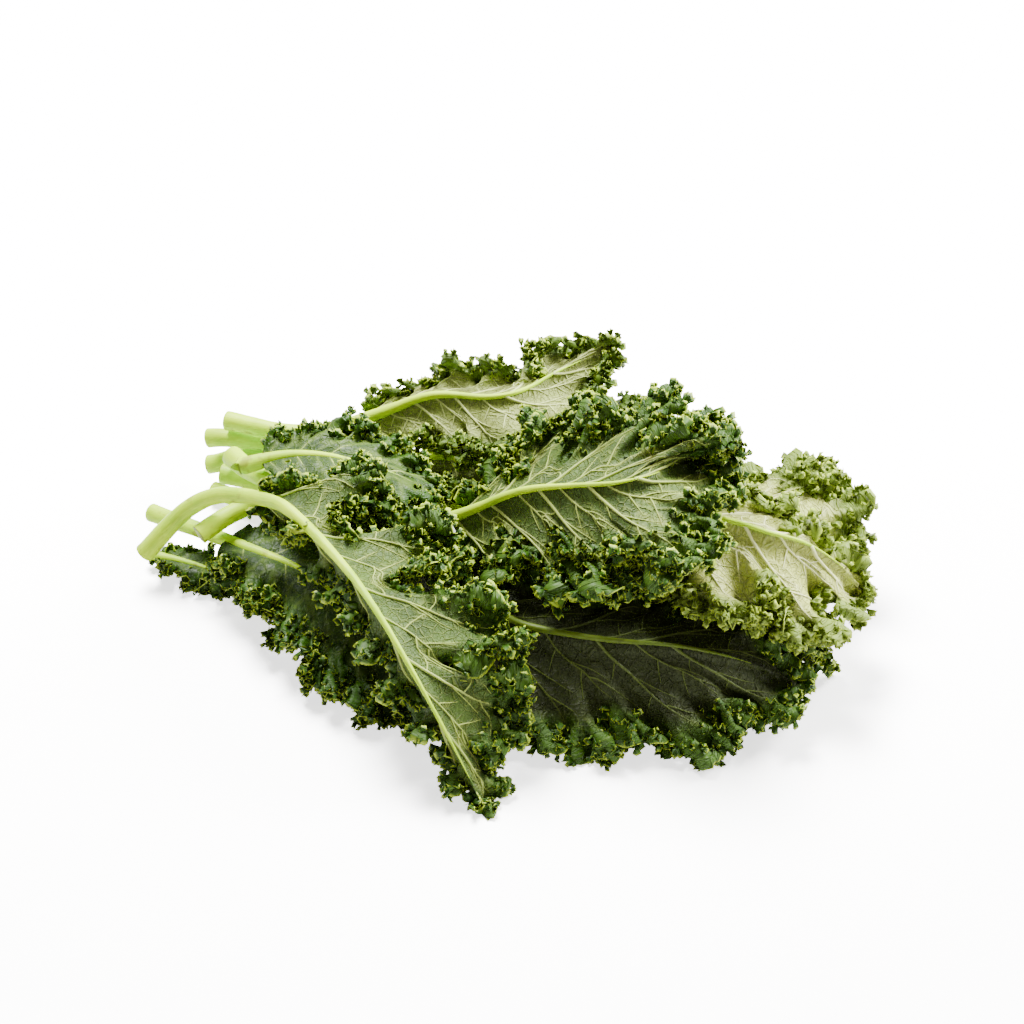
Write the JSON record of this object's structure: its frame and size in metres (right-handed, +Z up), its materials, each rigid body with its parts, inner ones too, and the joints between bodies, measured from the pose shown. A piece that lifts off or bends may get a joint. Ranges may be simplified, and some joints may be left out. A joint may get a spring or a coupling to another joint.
{
  "type": "curly kale bunch",
  "caption": "Loose bunch of curly kale lying on its side: pale cut stems at one end, frilled dark green leaf blades fanned out at the other.",
  "frame": {"origin": "centre of the bounding box in plan, on the surface that the bunch lies on", "axes": "+X from the cut stem ends towards the leaf tips, +Z up"},
  "size_m": [0.3982, 0.2654, 0.1295],
  "materials": {
    "pale_stem": "smooth waxy stem, satin",
    "kale_blade": "matt leaf with raised veins"
  },
  "bodies": {
    "root": {"leaf_small_left_stem": "pale_stem", "leaf_small_left_blade": "kale_blade", "leaf_left_stem": "pale_stem", "leaf_left_blade": "kale_blade", "leaf_low_right_stem": "pale_stem", "leaf_low_right_blade": "kale_blade", "leaf_low_back_stem": "pale_stem", "leaf_low_back_blade": "kale_blade", "leaf_low_front_stem": "pale_stem", "leaf_low_front_blade": "kale_blade", "leaf_right_back_stem": "pale_stem", "leaf_right_back_blade": "kale_blade", "leaf_right_stem": "pale_stem", "leaf_right_blade": "kale_blade", "leaf_middle_back_stem": "pale_stem", "leaf_middle_back_blade": "kale_blade", "leaf_back_stem": "pale_stem", "leaf_back_blade": "kale_blade", "leaf_middle_stem": "pale_stem", "leaf_middle_blade": "kale_blade", "leaf_front_stem": "pale_stem", "leaf_front_blade": "kale_blade", "leaf_top_stem": "pale_stem", "leaf_top_blade": "kale_blade"}
  },
  "joints": []
}
